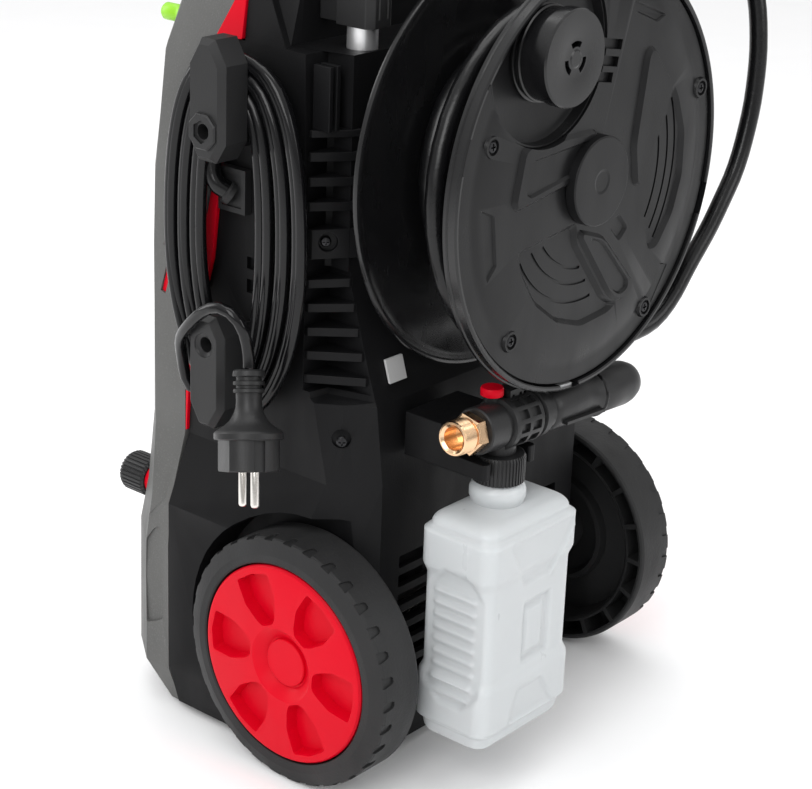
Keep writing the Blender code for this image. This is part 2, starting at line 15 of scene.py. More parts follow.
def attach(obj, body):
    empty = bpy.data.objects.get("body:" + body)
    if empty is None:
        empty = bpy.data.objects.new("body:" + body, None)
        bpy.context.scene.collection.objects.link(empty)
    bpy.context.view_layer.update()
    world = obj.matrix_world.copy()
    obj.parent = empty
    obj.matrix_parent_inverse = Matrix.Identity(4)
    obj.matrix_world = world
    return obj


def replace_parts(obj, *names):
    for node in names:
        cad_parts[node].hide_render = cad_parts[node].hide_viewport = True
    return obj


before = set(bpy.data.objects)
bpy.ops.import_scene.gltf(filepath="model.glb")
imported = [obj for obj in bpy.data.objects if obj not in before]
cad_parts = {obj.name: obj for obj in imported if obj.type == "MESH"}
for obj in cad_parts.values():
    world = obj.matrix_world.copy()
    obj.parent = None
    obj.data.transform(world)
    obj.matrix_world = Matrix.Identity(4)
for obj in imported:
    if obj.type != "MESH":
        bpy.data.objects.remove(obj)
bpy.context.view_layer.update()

MM = 0.001
MIDDLE = Vector((18.75, 33.0, 0.0))  # the row frame's origin in the design frame
TAU = 2 * math.pi


def row(p):
    """A design point in the row frame."""
    return (Vector(p) - MIDDLE) * MM


# ---- materials


def surface(name, color, rough, metallic=0.0, grain=0.25, grain_size=1.0, tint=0.14, speckle=0.0,
            streak=False, specular=0.5):
    """A moulded or metal surface: grain, uneven gloss, faint scuffs and shade differences."""
    m = bpy.data.materials.new(name)
    m.use_nodes = True
    tree = m.node_tree
    node = tree.nodes.new
    link = tree.links.new
    shader = tree.nodes["Principled BSDF"]
    shader.inputs["Metallic"].default_value = metallic
    shader.inputs["Specular IOR Level"].default_value = specular
    where = node("ShaderNodeTexCoord")

    def noise(scale, detail, stretch=None):
        n = node("ShaderNodeTexNoise")
        n.inputs["Scale"].default_value = scale
        n.inputs["Detail"].default_value = detail
        if stretch:
            turn = node("ShaderNodeMapping")
            turn.inputs["Scale"].default_value = stretch
            link(where.outputs["Object"], turn.inputs["Vector"])
            link(turn.outputs["Vector"], n.inputs["Vector"])
        else:
            link(where.outputs["Object"], n.inputs["Vector"])
        return n.outputs["Fac"]

    def between(value, low, high, start=0.3, end=0.7):
        r = node("ShaderNodeMapRange")
        for socket, number in (("From Min", start), ("From Max", end), ("To Min", low), ("To Max", high)):
            r.inputs[socket].default_value = number
        link(value, r.inputs["Value"])
        return r.outputs["Result"]

    def mixed(factor, a, b):
        mix = node("ShaderNodeMix")
        mix.data_type = "RGBA"
        link(factor, mix.inputs["Factor"])
        for socket, value in ((mix.inputs["A"], a), (mix.inputs["B"], b)):
            if isinstance(value, tuple):
                socket.default_value = (*value, 1.0)
            else:
                link(value, socket)
        return mix.outputs["Result"]

    cloud = between(noise(14.0, 4.0), 0.0, 1.0)
    shade = mixed(cloud, tuple(c * (1 - tint) for c in color), tuple(min(1, c * (1 + tint)) for c in color))
    if speckle:
        dots = between(noise(1100.0, 2.0), 0.0, 1.0, 0.56, 0.7)
        shade = mixed(dots, shade, tuple(min(1.0, c + speckle) for c in color))
    link(shade, shader.inputs["Base Color"])
    smudge = noise(60.0, 5.0, (1.0, 1.0, 0.35))
    link(between(smudge, max(0.05, rough - 0.09), min(1.0, rough + 0.09)), shader.inputs["Roughness"])
    fine = noise(900.0 / grain_size, 3.0, (1.0, 1.0, 0.04) if streak else None)
    bump = node("ShaderNodeBump")
    bump.inputs["Strength"].default_value = grain
    bump.inputs["Distance"].default_value = 0.00025 * grain_size
    link(fine, bump.inputs["Height"])
    link(bump.outputs["Normal"], shader.inputs["Normal"])
    return m


def milky(name):
    """Translucent blow-moulded polyethylene."""
    m = surface(name, (0.52, 0.54, 0.55), 0.36, grain=0.12, grain_size=2.5, tint=0.02)
    shader = m.node_tree.nodes["Principled BSDF"]
    shader.inputs["Subsurface Weight"].default_value = 0.45
    shader.inputs["Subsurface Radius"].default_value = (0.9, 1.0, 1.0)
    shader.inputs["Subsurface Scale"].default_value = 0.006
    return m


HOUSING = surface("housing_black", (0.0055, 0.0055, 0.006), 0.48, grain=0.3, specular=0.14)
MATT = surface("matt_black", (0.014, 0.014, 0.0145), 0.42, grain=0.3, specular=0.32)
GLOSS = surface("reel_black", (0.006, 0.006, 0.0065), 0.24, grain=0.08, specular=0.45)
COVER = surface("cover_black", (0.0075, 0.0075, 0.008), 0.36, grain=0.2, specular=0.22)
SHELL = surface("shell_grey", (0.098, 0.098, 0.095), 0.52, grain=0.5, grain_size=1.2,
                speckle=0.022, specular=0.3)
RED = surface("red", (0.60, 0.0, 0.012), 0.42, grain=0.16, tint=0.05, specular=0.12)
RUBBER = surface("tyre_black", (0.016, 0.016, 0.0165), 0.56, grain=0.5, grain_size=1.5,
                 specular=0.3)
CABLE = surface("cable_black", (0.004, 0.004, 0.0045), 0.20, grain=0.06, grain_size=1.5, specular=0.3)
HOSE = surface("hose_black", (0.0045, 0.0045, 0.005), 0.26, grain=0.2, grain_size=2.0, specular=0.32)
ZINC = surface("zinc", (0.60, 0.60, 0.60), 0.45, 0.3, grain=0.12, tint=0.05)
ALUMINIUM = surface("aluminium", (0.82, 0.82, 0.83), 0.42, 0.85, grain=0.25, tint=0.04, streak=True)
NICKEL = surface("nickel", (0.74, 0.71, 0.67), 0.20, 1.0, grain=0.08, tint=0.05)
BRASS = surface("brass", (0.80, 0.54, 0.33), 0.25, 1.0, grain=0.12, tint=0.08)
STEEL = surface("screw_steel", (0.035, 0.035, 0.037), 0.40, 1.0, grain=0.15, tint=0.1)
MILK = milky("bottle_white")
GREEN = surface("green", (0.27, 0.62, 0.018), 0.40, grain=0.2, tint=0.06)


# ---- building


def raw(bm):
    """An unfinished object, in design millimetres."""
    bmesh.ops.recalc_face_normals(bm, faces=bm.faces)
    mesh = bpy.data.meshes.new("raw")
    bm.to_mesh(mesh)
    bm.free()
    o = bpy.data.objects.new("raw", mesh)
    bpy.context.scene.collection.objects.link(o)
    return o


def box(corner, opposite):
    """A box between any two opposite corners."""
    bm = bmesh.new()
    one, two = Vector(corner), Vector(opposite)
    size = Matrix.Diagonal((*(abs(d) for d in two - one), 1.0))
    bmesh.ops.create_cube(bm, size=1.0, matrix=Matrix.Translation((one + two) / 2) @ size)
    return raw(bm)


def rod(start, end, r, segments=48, r2=None):
    bm = bmesh.new()
    start, end = Vector(start), Vector(end)
    along = end - start
    turn = along.to_track_quat("Z", "Y").to_matrix().to_4x4()
    bmesh.ops.create_cone(bm, cap_ends=True, segments=segments, radius1=r,
                          radius2=r if r2 is None else r2, depth=along.length,
                          matrix=Matrix.Translation((start + end) / 2) @ turn)
    return raw(bm)


def loft(rings, closed=True):
    """A solid through rings of points that all have the same count."""
    bm = bmesh.new()
    rows = [[bm.verts.new(p) for p in ring] for ring in rings]
    for low, high in zip(rows, rows[1:]):
        for i in range(len(low)):
            j = (i + 1) % len(low)
            bm.faces.new((low[i], low[j], high[j], high[i]))
    if closed:
        bm.faces.new(rows[0][::-1])
        bm.faces.new(rows[-1])
    return raw(bm)


def stack(axis, *levels):
    """A solid through flat outlines, each given as (place along the axis, outline)."""
    order = {"X": (0, 1, 2), "Y": (1, 0, 2), "Z": (1, 2, 0)}[axis]
    return loft([[tuple((h, *p)[i] for i in order) for p in outline] for h, outline in levels])


def plate(outline, axis, low, high, taper=0.0, soft=0.0, steps=4):
    """A flat outline extruded along an axis, drawn in on every side by taper at high."""
    far = shrunk(outline, taper) if taper else outline
    if soft:
        outline, far = softened(outline, soft, steps), softened(far, soft, steps)
    return stack(axis, (low, outline), (high, far))


def shrunk(outline, by):
    """The outline with every side moved inwards."""
    area = sum(a[0] * b[1] - b[0] * a[1] for a, b in zip(outline, [*outline[1:], outline[0]]))
    sign = 1 if area > 0 else -1
    out = []
    n = len(outline)
    for i in range(n):
        a, b, c = (Vector(outline[(i + k) % n]) for k in (-1, 0, 1))
        u, v = (b - a).normalized(), (c - b).normalized()
        mid = (Vector((-u.y, u.x)) + Vector((-v.y, v.x))) * sign
        if mid.length < 1e-6:
            mid = Vector((-u.y, u.x)) * sign
        mid.normalize()
        k = mid.dot(Vector((-u.y, u.x)) * sign)
        out.append(tuple(b + mid * (by / max(0.35, k))))
    return out


def turned(profile, axis, centre, segments=96):
    """A closed outline of (radius, place along the axis) turned about an axis through centre."""
    bm = bmesh.new()
    cx, cy, cz = centre

    def point(r, h, a):
        u, v = r * math.cos(a), r * math.sin(a)
        return {"X": (h, cy + u, cz + v), "Y": (cx + u, h, cz + v), "Z": (cx + u, cy + v, h)}[axis]

    columns = []
    for k in range(segments):
        a = TAU * k / segments
        columns.append([None if r < 1e-6 else bm.verts.new(point(r, h, a)) for r, h in profile])
    poles = [bm.verts.new(point(0, h, 0)) if r < 1e-6 else None for r, h in profile]
    for k in range(segments):
        one, two = columns[k], columns[(k + 1) % segments]
        for i in range(len(profile)):
            j = (i + 1) % len(profile)
            corners = [one[i] or poles[i], one[j] or poles[j], two[j] or poles[j], two[i] or poles[i]]
            unique = list(dict.fromkeys(corners))
            if len(unique) > 2:
                bm.faces.new(unique)
    return raw(bm)


def on_circle(centre, r, degrees):
    a = math.radians(degrees)
    return (centre[0] + r * math.cos(a), centre[1] + r * math.sin(a))


def arc(centre, r, start, end, steps):
    return [on_circle(centre, r, start + (end - start) * i / steps) for i in range(steps + 1)]


def polygon(centre, r, sides, start=0.0):
    return arc(centre, r, start, start + 360, sides)[:-1]


def ribbed(centre, ribs, corners):
    """A ribbed circle; a rib's corners are (radius, place as a part of the rib's pitch)."""
    pitch = 360 / ribs
    return [on_circle(centre, r, pitch * (k + d)) for k in range(ribs) for r, d in corners]


def scaled(outline, centre, k):
    return [(centre[0] + (x - centre[0]) * k, centre[1] + (y - centre[1]) * k) for x, y in outline]


def rounded(centre, half, r, steps=5):
    cx, cy = centre
    a, b = half[0] - r, half[1] - r
    return (arc((cx + a, cy + b), r, 0, 90, steps) + arc((cx - a, cy + b), r, 90, 180, steps)
            + arc((cx - a, cy - b), r, 180, 270, steps) + arc((cx + a, cy - b), r, 270, 360, steps))


def softened(points, r, steps=4):
    """An outline with its corners rounded off."""
    out = []
    n = len(points)
    for i in range(n):
        a, b, c = (Vector(points[(i + k) % n]) for k in (-1, 0, 1))
        cut = min(r, (a - b).length * 0.45, (c - b).length * 0.45)
        p, q = b + (a - b).normalized() * cut, b + (c - b).normalized() * cut
        for s in range(steps + 1):
            t = s / steps
            out.append(tuple((1 - t) ** 2 * p + 2 * t * (1 - t) * b + t**2 * q))
    return out


def settle(o):
    """Applies the modifiers of an unfinished object."""
    bpy.context.view_layer.update()
    mesh = bpy.data.meshes.new_from_object(o.evaluated_get(bpy.context.evaluated_depsgraph_get()))
    o.modifiers.clear()
    o.data = mesh
    return o


def joined(objects):
    """Unfinished objects as one."""
    bm = bmesh.new()
    for o in objects:
        bm.from_mesh(o.data)
        bpy.data.objects.remove(o)
    return raw(bm)


def combine(o, others, operation="DIFFERENCE"):
    """Cuts away or adds other unfinished objects, which don't touch each other."""
    other = joined(others) if isinstance(others, list) else others
    m = o.modifiers.new("combine", "BOOLEAN")
    m.operation = operation
    m.solver = "EXACT"
    m.object = other
    settle(o)
    bpy.data.objects.remove(other)
    return o


def step_at(value, edge, soft):
    """0 below edge and 1 above it, rising smoothly across it."""
    t = min(1.0, max(0.0, (value - edge + soft / 2) / soft))
    return t * t * (3 - 2 * t)


def moved(o, matrix):
    o.data.transform(matrix)
    return o


def node_copy(node, flat=0.8):
    """The CAD node's shape as an unfinished object, its flat faces whole again."""
    bm = bmesh.new()
    bm.from_mesh(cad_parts[node].data)
    bmesh.ops.remove_doubles(bm, verts=bm.verts, dist=1e-6)
    bmesh.ops.dissolve_limit(bm, angle_limit=math.radians(flat), verts=bm.verts, edges=bm.edges)
    bmesh.ops.scale(bm, verts=bm.verts, vec=(1 / MM, 1 / MM, 1 / MM))
    bmesh.ops.translate(bm, verts=bm.verts, vec=MIDDLE)
    return raw(bm)


def done(o, name, material, body, stands_for=(), sharp=35, bevel=0.0, segments=2):
    """Finishes an object: edges, smooth shading, material, place and what it rides on."""
    mesh = o.data
    mesh.polygons.foreach_set("use_smooth", [True] * len(mesh.polygons))
    mesh.set_sharp_from_angle(angle=math.radians(sharp))
    if bevel:
        m = o.modifiers.new("edges", "BEVEL")
        m.width = bevel
        m.segments = segments
        m.limit_method = "ANGLE"
        m.angle_limit = math.radians(28)
        m.harden_normals = True
        settle(o)
    o.data.transform(Matrix.Scale(MM, 4) @ Matrix.Translation(-MIDDLE))
    o.data.materials.clear()
    o.data.materials.append(material)
    o.name = o.data.name = name
    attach(o, body)
    if stands_for:
        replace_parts(o, *stands_for)
    return o


def wire(name, points, r, material, body, resolution=4, widths=None):
    """A round cord along points of the design frame, its radius r times the widths."""
    data = bpy.data.curves.new(name, "CURVE")
    data.dimensions = "3D"
    data.bevel_depth = r * MM
    data.bevel_resolution = resolution
    data.use_fill_caps = True
    line = data.splines.new("POLY")
    line.points.add(len(points) - 1)
    for point, p, width in zip(line.points, points, widths or [1.0] * len(points)):
        point.co = (*row(p), 1.0)
        point.radius = width
    line.use_smooth = True
    o = bpy.data.objects.new(name, data)
    bpy.context.scene.collection.objects.link(o)
    o.data.materials.append(material)
    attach(o, body)
    return o


def smooth_route(points, spacing):
    """Evenly spaced points along a Catmull-Rom curve."""
    p = [Vector(q) for q in points]
    p = [2 * p[0] - p[1], *p, 2 * p[-1] - p[-2]]
    fine = []
    for a, b, c, d in zip(p, p[1:], p[2:], p[3:]):
        for k in range(20):
            t = k / 20
            fine.append(0.5 * (2 * b + (c - a) * t + (2 * a - 5 * b + 4 * c - d) * t**2
                               + (3 * b - a - 3 * c + d) * t**3))
    fine.append(p[-2])
    total = length(fine)
    count = max(2, round(total / spacing))
    out, run, want = [fine[0]], 0.0, total / count
    for a, b in zip(fine, fine[1:]):
        step = (b - a).length
        while run + step >= want - 1e-6 and len(out) < count:
            out.append(a.lerp(b, (want - run) / step))
            want += total / count
        run += step
    return [*out, fine[-1]]


def length(points):
    return sum((Vector(b) - Vector(a)).length for a, b in zip(points, points[1:]))


# ---- wheels

WHEEL_Z = 75.0
WHEEL_BAYS = 18
TREAD_NOTCHES = 32


def wheel(side, word):
    """A blow-moulded wheel: treaded tyre, ribbed hollow on its inner side, red cap outside."""
    centre = (0, 0, WHEEL_Z)
    profile = [(6.4, 105), (16, 105), (17, 107), (17, 126), (30, 123.5), (33, 118), (36, 118), (37, 124),
               (57, 126), (60, 112), (61.5, 110.6), (73, 109.6), (74.2, 110.2), (75, 111.6), (75, 137.6),
               (74.4, 138.9), (66.4, 142.1), (65.6, 142.3), (61.4, 142.3), (60.5, 141.6), (60.4, 132),
               (6.4, 132)]
    o = turned([(r, side * x) for r, x in profile], "X", centre, 192)
    hub = (0, WHEEL_Z)
    combine(o, [plate(arc(hub, 62.8, a, a + 17.2, 5) + arc(hub, 71.6, a + 17.4, a, 5), "X",
                      side * 109, side * 129) for a in (20 * k + 1.4 for k in range(WHEEL_BAYS))])
    notch = ((140.5, -3.4), (140.5, 3.4), (132.6, 2.2), (131.4, 1.2), (131.4, -1.2), (132.6, -2.2))
    notches = []
    for k in range(TREAD_NOTCHES):
        a = TAU * k / TREAD_NOTCHES
        u, v = Vector((0, math.cos(a), math.sin(a))), Vector((0, -math.sin(a), math.cos(a)))
        notches.append(loft([[Vector((side * x, 0, WHEEL_Z)) + u * r + v * w for x, w in notch]
                             for r in (73.6, 77)]))
    combine(o, notches)
    done(o, f"{word}_tyre", RUBBER, f"{word}_wheel_body", [f"{word}_wheel"], sharp=14, bevel=0.2)

    profile = [(0, 132.4), (59.4, 132.4), (59.4, 141.2), (58.4, 142.5), (57.2, 142.9), (22.4, 142.9),
               (21.4, 142.4), (15.4, 137.2), (14.4, 137), (14.2, 138.8), (13.6, 139.2), (0, 139.4)]
    cap = turned([(r, side * x) for r, x in profile], "X", centre, 128)
    pocket = ((54.6, -14), (55.2, 0), (54.6, 14), (40, 18.5), (29, 16), (24.2, 11), (23.6, 0), (24.2, -11),
              (29, -16), (40, -18.5))
    combine(cap, [plate([on_circle(hub, r, a + t) for r, t in pocket], "X", side * 144.5, side * 135.4,
                        1.4, 1.8, 3) for a in range(4, 364, 60)])
    done(cap, f"{word}_hubcap_shape", RED, f"{word}_wheel_body", [f"{word}_hubcap"], sharp=20, bevel=0.45)


# ---- hose reel

REEL_Z = 351.0
COVER_Y = -91.4
KNOB = (-45.0, 426.0)


def screw(x, z, y, r=3.3):
    """A dark cross-head screw that faces -y."""
    o = turned([(0, y + 1.5), (r, y + 1.5), (r, y + 0.3), (r - 0.7, y - 0.5), (0, y - 0.9)], "Y",
               (x, 0, z), 32)
    combine(o, box((x - 0.5, y - 3, z - 1.9), (x + 0.5, y + 0.4, z + 1.9)))
    return combine(o, box((x - 1.9, y - 3, z - 0.5), (x + 1.9, y + 0.4, z + 0.5)))


def reel():
    centre = (0, 0, REEL_Z)
    drum = turned([(8.8, -24.4), (20, -23.6), (118.6, -23.6), (119.6, -24.1), (120, -25.4), (119.6, -26.9),
                   (118.4, -27.4), (116.4, -27.3), (115, -26.5), (112, -26.3), (47, -26.3), (45, -28),
                   (45, -78), (36, -79), (36, -29), (8.8, -29)], "Y", centre, 192)
    done(drum, "reel_drum_shape", GLOSS, "reel", ["reel_drum"], sharp=40)

    rim = turned([(12, -79.5), (111, -79.5), (112.6, -80.6), (113.4, -83.4), (114.5, -84), (119, -84),
                  (120, -84.8), (120, -86.6), (119.2, -87.1), (119.2, -91.8), (118.2, -92.7), (116.9, -92.7),
                  (116.2, -92), (116.2, -88), (114.4, -87), (112.2, -82.6), (12, -82.6)], "Y", centre, 192)
    notches = ((164, 4.6), (-16, 4.6), (-94.8, 4.2), (146, 0.8), (75, 4.6))
    combine(rim, [plate(arc((0, REEL_Z), 115.4, a - half, a + half, 4)
                        + arc((0, REEL_Z), 118.2, a + half, a - half, 4), "Y", -95, -88.6)
                  for a, half in notches])
    done(rim, "reel_rim", GLOSS, "reel", ["reel_front_flange"], sharp=40)

    # The metal of the inner flange shows through the lowest notch.
    shim = plate(arc((0, REEL_Z), 116.9, -97.6, -92.2, 4) + arc((0, REEL_Z), 118.4, -92.2, -97.6, 4), "Y",
                 -88.3, -90)
    done(shim, "reel_rim_clip", ALUMINIUM, "reel")


def cover():
    """The reel's cover with its raised and sunk fields, slots and screws."""
    centre = (0, 0, REEL_Z)
    disc = turned([(0, -86), (115.6, -86), (115.6, -89.6), (114.8, -90.4), (107, -90.6), (103, -90.6),
                   (101, COVER_Y), (0, COVER_Y)], "Y", centre, 192)

    def field(points, low, high, taper=0.0, soft=0.0):
        return plate([(x, REEL_Z + z) for x, z in points], "Y", low, high, taper, soft)

    def sunk(points, depth=1.2, r=1.2, edge=0.6):
        return field(points, -92.4, COVER_Y + depth, edge + depth, r)

    fan_right = [(43, -14), (60, -54.5), (70, -54), (84, -36), (91, -14), (90, 12), (81, 33), (73.5, 44),
                 (66, 22)]
    fan_left = [(-11, -20.5), (-66.5, -26.5), (-60, -43), (-47, -62), (-26, -77), (-2, -85), (24, -83),
                (35, -78), (20, -70), (-10, -33)]
    combine(disc, [sunk(fan_right, 2.3, 4, 1.4), sunk(fan_left, 2.3, 4, 1.4),
                   sunk([(-98.5, 3.5), (-85, -3), (-81, -31.5), (-90, -41)]),
                   sunk([(26, 96), (31, 86), (52, 78), (63, 82)]),
                   sunk([(74, -63), (86, -65.5), (70, -89), (56, -92)])])
    combine(disc, [sunk([(27.8, -23), (39.5, -34.9), (30.1, -43), (18.4, -31.2)], 1.6, 3, 0.8)])
    pads = ((93.9, (34, 12.9), (41, 62), (45.5, 68), (51, 66), (70, 45.5), (72.5, 40), (46, -13), (39, -12)),
            (93.8, (-66, 31), (-73, -0.5), (-69, -6), (-14, 1.5), (-10, 9.4), (3.7, 24), (-1.6, 29.5)),
            (93.8, (-10.5, -25), (13.5, -33), (46, -66), (46.5, -73), (32, -79), (21, -72), (-11, -32)))
    combine(disc, [field(pad, -90.5, -top, 3.0, 5) for top, *pad in pads], "UNION")
    inner = ([(-59.5, 22), (-63.5, 3), (-58, 0), (-15, 6.5), (-3.5, 22), (-4.5, 25)],
             [(-4.5, -30), (12, -36), (40, -65), (40, -71), (32, -74), (23.5, -69.5)])
    combine(disc, [field(q, -95, -92.2, 2.2, 4) for q in inner])

    # The round pocket for the crank knob, open to the rim.
    combine(disc, plate(polygon(KNOB, 49.5, 72), "Y", -96, -84))
    slots = ((66.6, -30, 11), (75.4, -33, 18), (82.6, -35, 23.5), (49.6, 218, 266), (58.5, 213, 273),
             (68.8, 211, 277))
    combine(disc, [curved_slot(*slot) for slot in slots])
    tooth = ((-5, -1.6), (12, -4.6), (13, 0.8), (-3, 3.6))
    combine(disc, [field([(x + dx, z + dz) for dx, dz in tooth], -94, -88.6)
                   for x, z in ((6.5, 73), (3.8, 64), (-0.5, 56))])
    spots = [(-90.7, 33.8), (101.6, 34.7), (-66.2, -76.7), (61.1, -87.5), (10, 103)]
    bosses = [rod((x, -90, REEL_Z + z), (x, -92.3, REEL_Z + z), 6.6, 48, 5.6) for x, z in spots]
    combine(disc, bosses, "UNION")
    combine(disc, [rod((x, -94, REEL_Z + z), (x, -90.9, REEL_Z + z), 4.3, 40) for x, z in spots])
    done(disc, "reel_cover_shape", COVER, "reel", ["reel_cover"], bevel=0.35)
    screws = joined([screw(x, REEL_Z + z, COVER_Y, 3.4) for x, z in spots])
    done(screws, "reel_screws", STEEL, "reel")

    # Floor and wall of the knob's pocket.
    tub = turned([(0, -82.9), (49, -82.9), (49, -90.2), (48, -90.2), (47.4, -84.6), (45, -84), (0, -84)],
                 "Y", (KNOB[0], 0, KNOB[1]), 96)
    keep = rod((0, -70, REEL_Z), (0, -100, REEL_Z), 115.8, 128)
    combine(tub, keep, "INTERSECT")
    done(tub, "knob_pocket_tub", COVER, "reel", sharp=40)

    cap = turned([(0, -91.7), (25, -91.7), (25, -97.4), (24.3, -98), (7, -98), (5.5, -97.6), (0, -97.5)],
                 "Y", centre, 128)
    done(cap, "reel_hub_cap_shape", COVER, "reel", ["reel_hub_cap"], sharp=12, bevel=0.3)


def curved_slot(r, a0, a1, wide=1.7):
    """A slot along an arc of the cover."""
    return plate([*arc((0, REEL_Z), r - wide / 2, a0, a1, 16), *arc((0, REEL_Z), r + wide / 2, a1, a0, 16)],
                 "Y", -94, -88.2)


def knob():
    centre = (KNOB[0], 0, KNOB[1])
    o = turned([(0, -84.4), (23, -84.4), (26, -84.7), (26, -86.2), (24.8, -86.7), (24.8, -88), (25.5, -88.4),
                (25.5, -89.6), (24.6, -90.1), (24.6, -97.2), (25.2, -97.6), (25.2, -98.2), (25.8, -98.7),
                (25.8, -106), (25, -107), (12, -107), (11, -106.8), (5, -106.8), (4, -107.2), (0, -107.2)],
               "Y", centre, 128)
    combine(o, [plate(arc(KNOB, 6.2, a - 30, a + 30, 8) + arc(KNOB, 9.2, a + 30, a - 30, 8), "Y", -109, -101)
                for a in (90, 210, 330)])
    done(o, "crank_knob_shape", GLOSS, "crank_knob_body", ["crank_knob"], sharp=20, bevel=0.3)


# Each layer of the wound hose: its radius at the start and end, its y at the start and end, its turns.
WRAPS = ((51, 51, -33.4, -67.2, 4), (60.5, 60.5, -67.2, -33.4, 4), (70, 70, -33.4, -67.2, 4),
         (80.5, 80.5, -67.2, -47, 1.6), (81, 105.6, -47, -68, 0.8))
HOSE_R = 5.5
WRAP_START = 145  # degrees, so that the last turn ends where the free hose begins


def wound_hose():
    """The hose on the reel: three full layers, and loose turns on top."""
    points = []
    at = WRAP_START
    for k, (r0, r1, y0, y1, turns) in enumerate(WRAPS):
        steps = round(turns * 40)
        for i in range(steps):
            t = i / steps
            a = math.radians(at + 360 * turns * t)
            grow = 0.0
            if k + 1 < len(WRAPS):
                grow = (WRAPS[k + 1][0] - r1) * step_at(t, 0.97, 0.06)
            r = r0 + (r1 - r0) * t + grow
            points.append((r * math.cos(a), y0 + (y1 - y0) * t, REEL_Z + r * math.sin(a)))
        at += 360 * turns
    o = wire("wound_hose", points, HOSE_R, HOSE, "reel")
    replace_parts(o, "hose_coil")


HOSE_ROUTE = [(34, -68, 251), (62, -72, 240), (90, -76, 241.5), (108, -78.5, 253), (125, -80, 273.5),
              (141, -81, 291), (153, -82, 308), (164, -82, 323), (172, -82, 342), (178, -82, 368),
              (181, -80, 400), (180, -74, 432), (175.5, -60, 460), (172.3, -47.5, 480),
              (172, -46.5, 489.6)]


def hose_end():
    points = smooth_route(HOSE_ROUTE, 8)
    o = wire("hose_to_gun", points, HOSE_R, HOSE, "root", 6)
    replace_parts(o, "hose_tail")
    row(points[0])
    length(points) * MM


# ---- mains lead and plug

PLUG_AT = Vector((-160.0, 10.0, 218.5))
PLUG_UP = Vector((0.2564, 0.2607, 0.9307)).normalized()
PIN_LINE = Vector((-0.392, -0.852, 0.347)).normalized()
LEAD_R = 3.3
RELIEF_POINTS = 44
LEAD_START = [(-121.6, 72.6, 337.6), (-123, 75.6, 342), (-122.6, 78, 349)]
LEAD_ROUTE = [(-134.2, 81, 215), (-136.5, 83.8, 228), (-142.5, 79.5, 243), (-148, 75.8, 252.5),
              (-154.4, 63.5, 264.5), (-157.4, 48.4, 278.2), (-158.3, 36.1, 284.9), (-158, 26, 284.2),
              (-155.5, 20.6, 278), (-151.8, 20.8, 268.5), (-148.9, 21.4, 259), (-150.8, 19.4, 252)]
HOOK_Y = 55.0
TURNS = 11  # the last one stops short
POINTS_A_TURN = 44


def lead_turns():
    """The turns of the lead round its two hooks, from the inside out."""
    rng = random.Random(4)
    rows = []
    for k in range(TURNS + 1):
        out = k / 2
        rows.append((18.5 + 6.4 * out + rng.uniform(-1.6, 1.6), 23.5 + 5.4 * out + rng.uniform(-1, 1),
                     83.5 + 4.0 * out, 79.5 + 4.0 * out + rng.uniform(-0.6, 0.6),
                     -120.9 if k % 4 in (0, 3) else -127.2))
    points = []
    first, last = 26, 296  # degrees
    whole = 360 * (TURNS - 1) + last - first
    count = round(whole / 360 * POINTS_A_TURN)
    for i in range(count + 1):
        a = first + whole * i / count
        k = int(a // 360)
        s = step_at(a / 360 - k, 0.85, 0.30)
        right, left, up, down, x = (p + (q - p) * s for p, q in zip(rows[k], rows[k + 1]))
        c, v = math.cos(math.radians(a)), math.sin(math.radians(a))
        y = HOOK_Y + (left if c > 0 else -right) * abs(c) ** (2 / (2.7 if v > 0 else 2.0))
        z = 309 + (up if v > 0 else -down) * abs(v) ** (2 / (2.4 if v > 0 else 2.0))
        points.append((x, y, z))
    return points


def relaxed(points, times, keep=2):
    """The route with its small kinks smoothed out."""
    p = [Vector(q) for q in points]
    for _ in range(times):
        p = p[:keep] + [(p[i - 1] + 2 * p[i] + p[i + 1]) / 4 for i in range(keep, len(p) - keep)] + p[-keep:]
    return p


